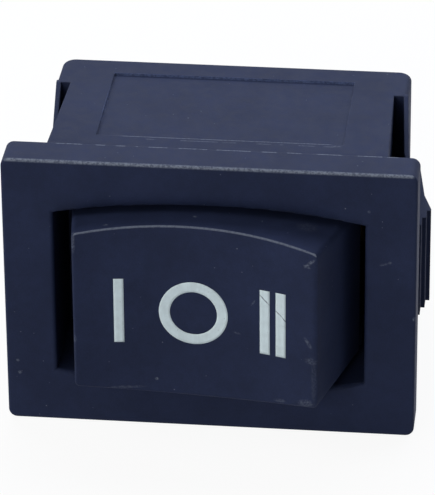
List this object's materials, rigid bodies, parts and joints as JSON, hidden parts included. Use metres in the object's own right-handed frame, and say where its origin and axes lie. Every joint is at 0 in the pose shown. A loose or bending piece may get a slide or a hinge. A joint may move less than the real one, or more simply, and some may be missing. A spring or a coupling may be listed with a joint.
{
  "type": "rocker switch",
  "caption": "Small snap-in panel switch: a dished rocker tilts either way from its middle position inside a flat rectangular bezel, with flat solder tabs behind.",
  "frame": {"origin": "middle of the panel cut-out, on the panel's front plane right under the bezel", "axes": "+X along the long side from mark I to mark II, +Y into the panel, +Z along the short side; the rocker faces -Y"},
  "size_m": [0.0214, 0.0242, 0.015],
  "materials": {
    "housing_plastic": "fine matt moulded texture, near black with a blue cast",
    "rocker_plastic": "fine matt moulded texture, near black with a blue cast",
    "plunger_plastic": "smooth natural nylon",
    "spring_steel": "drawn wire",
    "blade_copper": "rolled copper alloy",
    "contact_silver": "silver faced",
    "terminal_brass": "stamped brass"
  },
  "bodies": {
    "housing": {"housing": "housing_plastic", "common_terminal": "terminal_brass", "terminal_one": "terminal_brass", "terminal_two": "terminal_brass", "fixed_contact_one": "contact_silver", "fixed_contact_two": "contact_silver"},
    "rocker": {"rocker": "rocker_plastic", "spring": "spring_steel"},
    "plunger": {"plunger": "plunger_plastic"},
    "blade": {"contact_blade": "blade_copper", "moving_contact_one": "contact_silver", "moving_contact_two": "contact_silver"}
  },
  "joints": [
    {"name": "rocker_tilt", "type": "hinge", "parent": "housing", "child": "rocker", "pos_m": [0, 0.001, 0], "axis": [0, 0, 1], "range_deg": [0, 10]},
    {"name": "plunger_slide", "type": "slide", "parent": "rocker", "child": "plunger", "axis": [-0.0872, -0.9962, 0], "range_m": [0, 0.0009], "stiffness_N_per_m": 200, "springref_m": -0.002, "deforming": ["spring"]},
    {"name": "blade_rock", "type": "hinge", "parent": "housing", "child": "blade", "pos_m": [0, 0.00855, 0], "axis": [0, 0, 1], "range_deg": [-10, 0]}
  ],
  "couplings": [
    {"joint": "blade_rock", "follows": "rocker_tilt", "ratio": -1}
  ]
}
